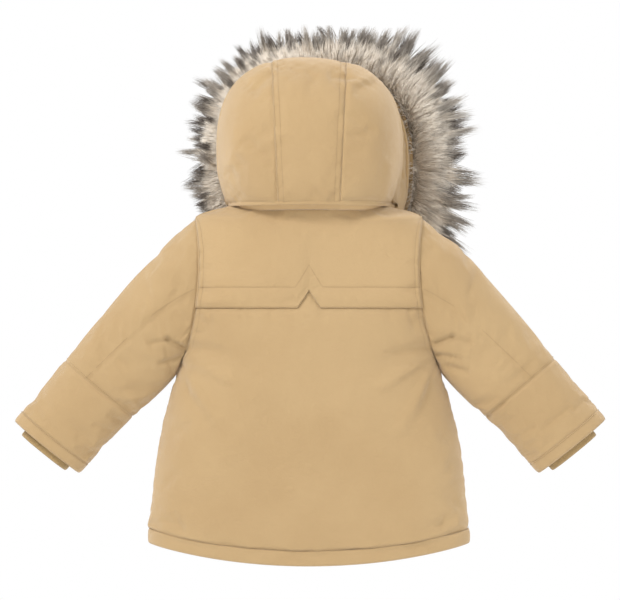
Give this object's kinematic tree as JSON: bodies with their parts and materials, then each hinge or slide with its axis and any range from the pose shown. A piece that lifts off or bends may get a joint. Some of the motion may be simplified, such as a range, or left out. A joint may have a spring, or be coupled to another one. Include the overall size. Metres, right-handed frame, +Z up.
{
  "type": "child's hooded winter coat",
  "caption": "Child's padded winter coat with a raised hood, a removable fur ruff, long sleeves, a zipped front with a storm flap, and patch pockets.",
  "frame": {"origin": "the point of the hanger loop, inside the back of the neck, that a hook bears on", "axes": "+Z up as the coat hangs; the wearer faces -Y; +X to the wearer's left, along the line of the two sleeves"},
  "size_m": [0.8892, 0.2458, 0.7952],
  "materials": {
    "shell_cloth": "matt woven cloth",
    "cuff_cloth": "matt woven cloth, a shade darker",
    "lining": "smooth woven lining",
    "wadding": "fibre wadding",
    "fur": "long artificial fur with dark tips",
    "tape": "woven tape",
    "label": "blank woven label",
    "metal": "aged, brushed"
  },
  "bodies": {
    "body": {"back_yoke": "shell_cloth", "back_panel": "shell_cloth", "left_front_panel": "shell_cloth", "right_front_panel": "shell_cloth", "body_wadding": "wadding", "body_lining": "lining", "hem_band": "shell_cloth", "collar": "shell_cloth", "hanger_loop": "tape", "neck_label": "label", "left_sleeve_head": "shell_cloth", "right_sleeve_head": "shell_cloth", "hood_base": "shell_cloth", "left_pocket": "shell_cloth", "right_pocket": "shell_cloth", "left_pocket_stud": "metal", "right_pocket_stud": "metal"},
    "hood": {"hood_middle_panel": "shell_cloth", "hood_left_panel": "shell_cloth", "hood_right_panel": "shell_cloth", "hood_wadding": "wadding", "hood_lining": "lining", "hood_face_band": "shell_cloth"},
    "ruff": {"ruff_backing": "tape", "ruff_fur": "fur"},
    "left_edge": {"left_facing": "shell_cloth", "left_zip_tape": "tape"},
    "right_edge": {"right_facing": "shell_cloth", "right_zip_tape": "tape", "storm_flap_stud_1": "metal", "storm_flap_stud_2": "metal", "storm_flap_stud_3": "metal", "storm_flap_stud_4": "metal"},
    "slider": {"zip_slider": "metal"},
    "pull": {"zip_pull": "metal"},
    "flap": {"storm_flap": "shell_cloth", "storm_flap_cap_1": "metal", "storm_flap_cap_2": "metal", "storm_flap_cap_3": "metal", "storm_flap_cap_4": "metal"},
    "left_arm": {"left_upper_sleeve": "shell_cloth", "left_upper_lining": "lining", "left_elbow": "shell_cloth"},
    "left_lower_arm": {"left_forearm": "shell_cloth", "left_forearm_lining": "lining", "left_cuff_band": "shell_cloth", "left_inner_cuff": "cuff_cloth"},
    "left_pocket_cover": {"left_pocket_flap": "shell_cloth", "left_pocket_cap": "metal"},
    "right_arm": {"right_upper_sleeve": "shell_cloth", "right_upper_lining": "lining", "right_elbow": "shell_cloth"},
    "right_lower_arm": {"right_forearm": "shell_cloth", "right_forearm_lining": "lining", "right_cuff_band": "shell_cloth", "right_inner_cuff": "cuff_cloth"},
    "right_pocket_cover": {"right_pocket_flap": "shell_cloth", "right_pocket_cap": "metal"}
  },
  "joints": [
    {"name": "left_sleeve_raise", "type": "hinge", "parent": "body", "child": "left_arm", "pos_m": [0.182, -0.0343, -0.109], "axis": [0, -1, 0], "range_deg": [-5, 30], "deforming": ["left_sleeve_head"]},
    {"name": "left_elbow_bend", "type": "hinge", "parent": "left_arm", "child": "left_lower_arm", "pos_m": [0.31679, -0.0483, -0.29176], "axis": [-0.7455, 0, -0.6665], "range_deg": [0, 60], "deforming": ["left_elbow"]},
    {"name": "right_sleeve_raise", "type": "hinge", "parent": "body", "child": "right_arm", "pos_m": [-0.182, -0.0343, -0.109], "axis": [0, 1, 0], "range_deg": [-5, 30], "deforming": ["right_sleeve_head"]},
    {"name": "right_elbow_bend", "type": "hinge", "parent": "right_arm", "child": "right_lower_arm", "pos_m": [-0.31679, -0.0483, -0.29176], "axis": [-0.7455, 0, 0.6665], "range_deg": [0, 60], "deforming": ["right_elbow"]},
    {"name": "hood_fold", "type": "hinge", "parent": "body", "child": "hood", "pos_m": [0, -0.0943, -0.004], "axis": [-1, 0, 0], "range_deg": [0, 40], "deforming": ["hood_base"]},
    {"name": "ruff_detach", "type": "slide", "parent": "hood", "child": "ruff", "axis": [0, -1, 0], "range_m": [0, 0.12]},
    {"name": "left_front_open", "type": "hinge", "parent": "body", "child": "left_edge", "pos_m": [0.046, -0.09719, -0.28433], "axis": [0, 0.0226, 0.9997], "range_deg": [0, 55]},
    {"name": "right_front_open", "type": "hinge", "parent": "body", "child": "right_edge", "pos_m": [-0.046, -0.09719, -0.28433], "axis": [0, -0.0226, -0.9997], "range_deg": [0, 55]},
    {"name": "storm_flap_open", "type": "hinge", "parent": "left_edge", "child": "flap", "pos_m": [0.032, -0.10159, -0.28423], "axis": [0, 0.0226, 0.9997], "range_deg": [0, 55]},
    {"name": "zip_slider_travel", "type": "slide", "parent": "left_edge", "child": "slider", "axis": [0, -0.0226, -0.9997], "range_m": [0, 0.42]},
    {"name": "zip_pull_swing", "type": "hinge", "parent": "slider", "child": "pull", "pos_m": [0, -0.09774, -0.05596], "axis": [-1, 0, 0], "range_deg": [0, 120]},
    {"name": "left_pocket_flap_lift", "type": "hinge", "parent": "body", "child": "left_pocket_cover", "pos_m": [0.12601, -0.09498, -0.34499], "axis": [-0.9909, -0.1343, 0], "range_deg": [0, 80]},
    {"name": "right_pocket_flap_lift", "type": "hinge", "parent": "body", "child": "right_pocket_cover", "pos_m": [-0.12601, -0.09498, -0.34499], "axis": [-0.9909, 0.1343, 0], "range_deg": [0, 80]}
  ],
  "couplings": [
    {"joint": "right_front_open", "follows": "left_front_open", "ratio": 1}
  ]
}
